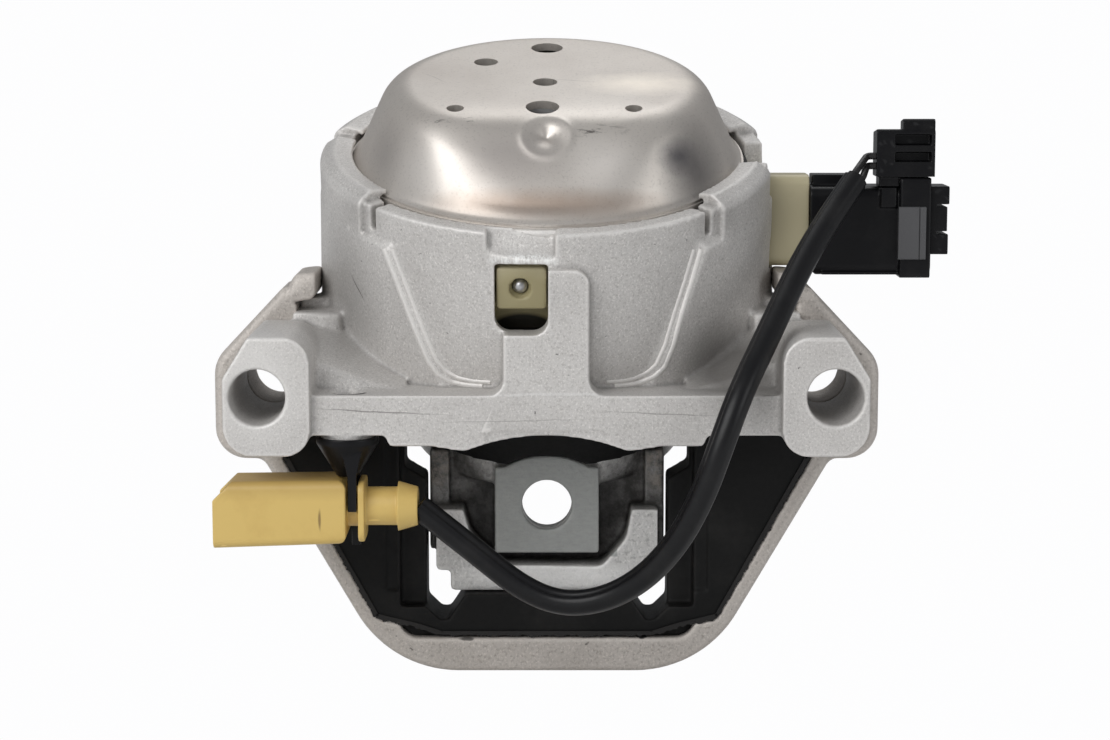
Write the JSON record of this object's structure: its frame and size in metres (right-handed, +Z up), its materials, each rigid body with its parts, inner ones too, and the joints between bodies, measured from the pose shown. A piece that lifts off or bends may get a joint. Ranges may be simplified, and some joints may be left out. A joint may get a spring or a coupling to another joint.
{
  "type": "engine mount",
  "caption": "Fluid-filled engine mount: tilted round pot with steel cap, two bolt eyes, rubber-borne core in a loop bracket, switch plug and short lead.",
  "frame": {"origin": "middle of the two ear bores, on the ears' front faces", "axes": "+X from the left ear to the right ear, +Y from the front faces back along the bores, +Z up; the pot leans forward 17 degrees about X"},
  "size_m": [0.1874, 0.1407, 0.1619],
  "materials": {
    "cast_housing": "die-cast, fine grain",
    "cast_loop": "sand-rough cast",
    "cast_core": "cast, blasted",
    "cap_steel": "drawn, satin",
    "soft_steel": "machined",
    "plate_alloy": "machined",
    "magnet": "plated",
    "copper": "enamelled winding",
    "rubber": "matt",
    "nylon": "moulded",
    "black_plastic": "moulded",
    "grey_plastic": "moulded",
    "pale_plastic": "moulded",
    "cable_jacket": "satin",
    "wire_skin": "satin",
    "contact": "tinned"
  },
  "bodies": {
    "mount": {"housing": "cast_housing", "cap": "cap_steel", "cap_seal": "rubber", "terminal_carrier": "nylon", "sealing_ball": "soft_steel", "terminal_pin_1": "contact", "terminal_pin_2": "contact", "socket_seal": "rubber", "rolling_diaphragm": "rubber", "nozzle_plate_upper": "plate_alloy", "nozzle_plate_lower": "plate_alloy", "decoupler_membrane": "rubber", "actuator_yoke": "soft_steel", "actuator_magnet": "magnet", "pole_piece": "soft_steel", "spring_outer_ring": "plate_alloy", "main_rubber_spring": "rubber", "ring_bracket": "cast_loop", "ring_liner": "rubber", "plug_body": "black_plastic", "plug_end_lock": "black_plastic", "plug_lock_slide": "grey_plastic", "wire_cover": "black_plastic", "wire_1": "wire_skin", "wire_2": "wire_skin", "cable": "cable_jacket", "far_connector": "pale_plastic", "far_contact_1": "contact", "far_contact_2": "contact", "cable_clip": "black_plastic"},
    "core": {"core": "cast_core"},
    "armature": {"coil_bobbin": "nylon", "coil_winding": "copper", "plunger": "plate_alloy"}
  },
  "joints": [
    {"name": "core_travel", "type": "slide", "parent": "mount", "child": "core", "axis": [0, -0.2924, 0.9563], "range_m": [0, 0.005], "stiffness_N_per_m": 20000, "springref_m": -0.0005, "deforming": ["main_rubber_spring"]},
    {"name": "actuator_stroke", "type": "slide", "parent": "mount", "child": "armature", "axis": [0, -0.2924, 0.9563], "range_m": [-0.0008, 0.0008], "stiffness_N_per_m": 4000, "deforming": ["decoupler_membrane"]}
  ]
}
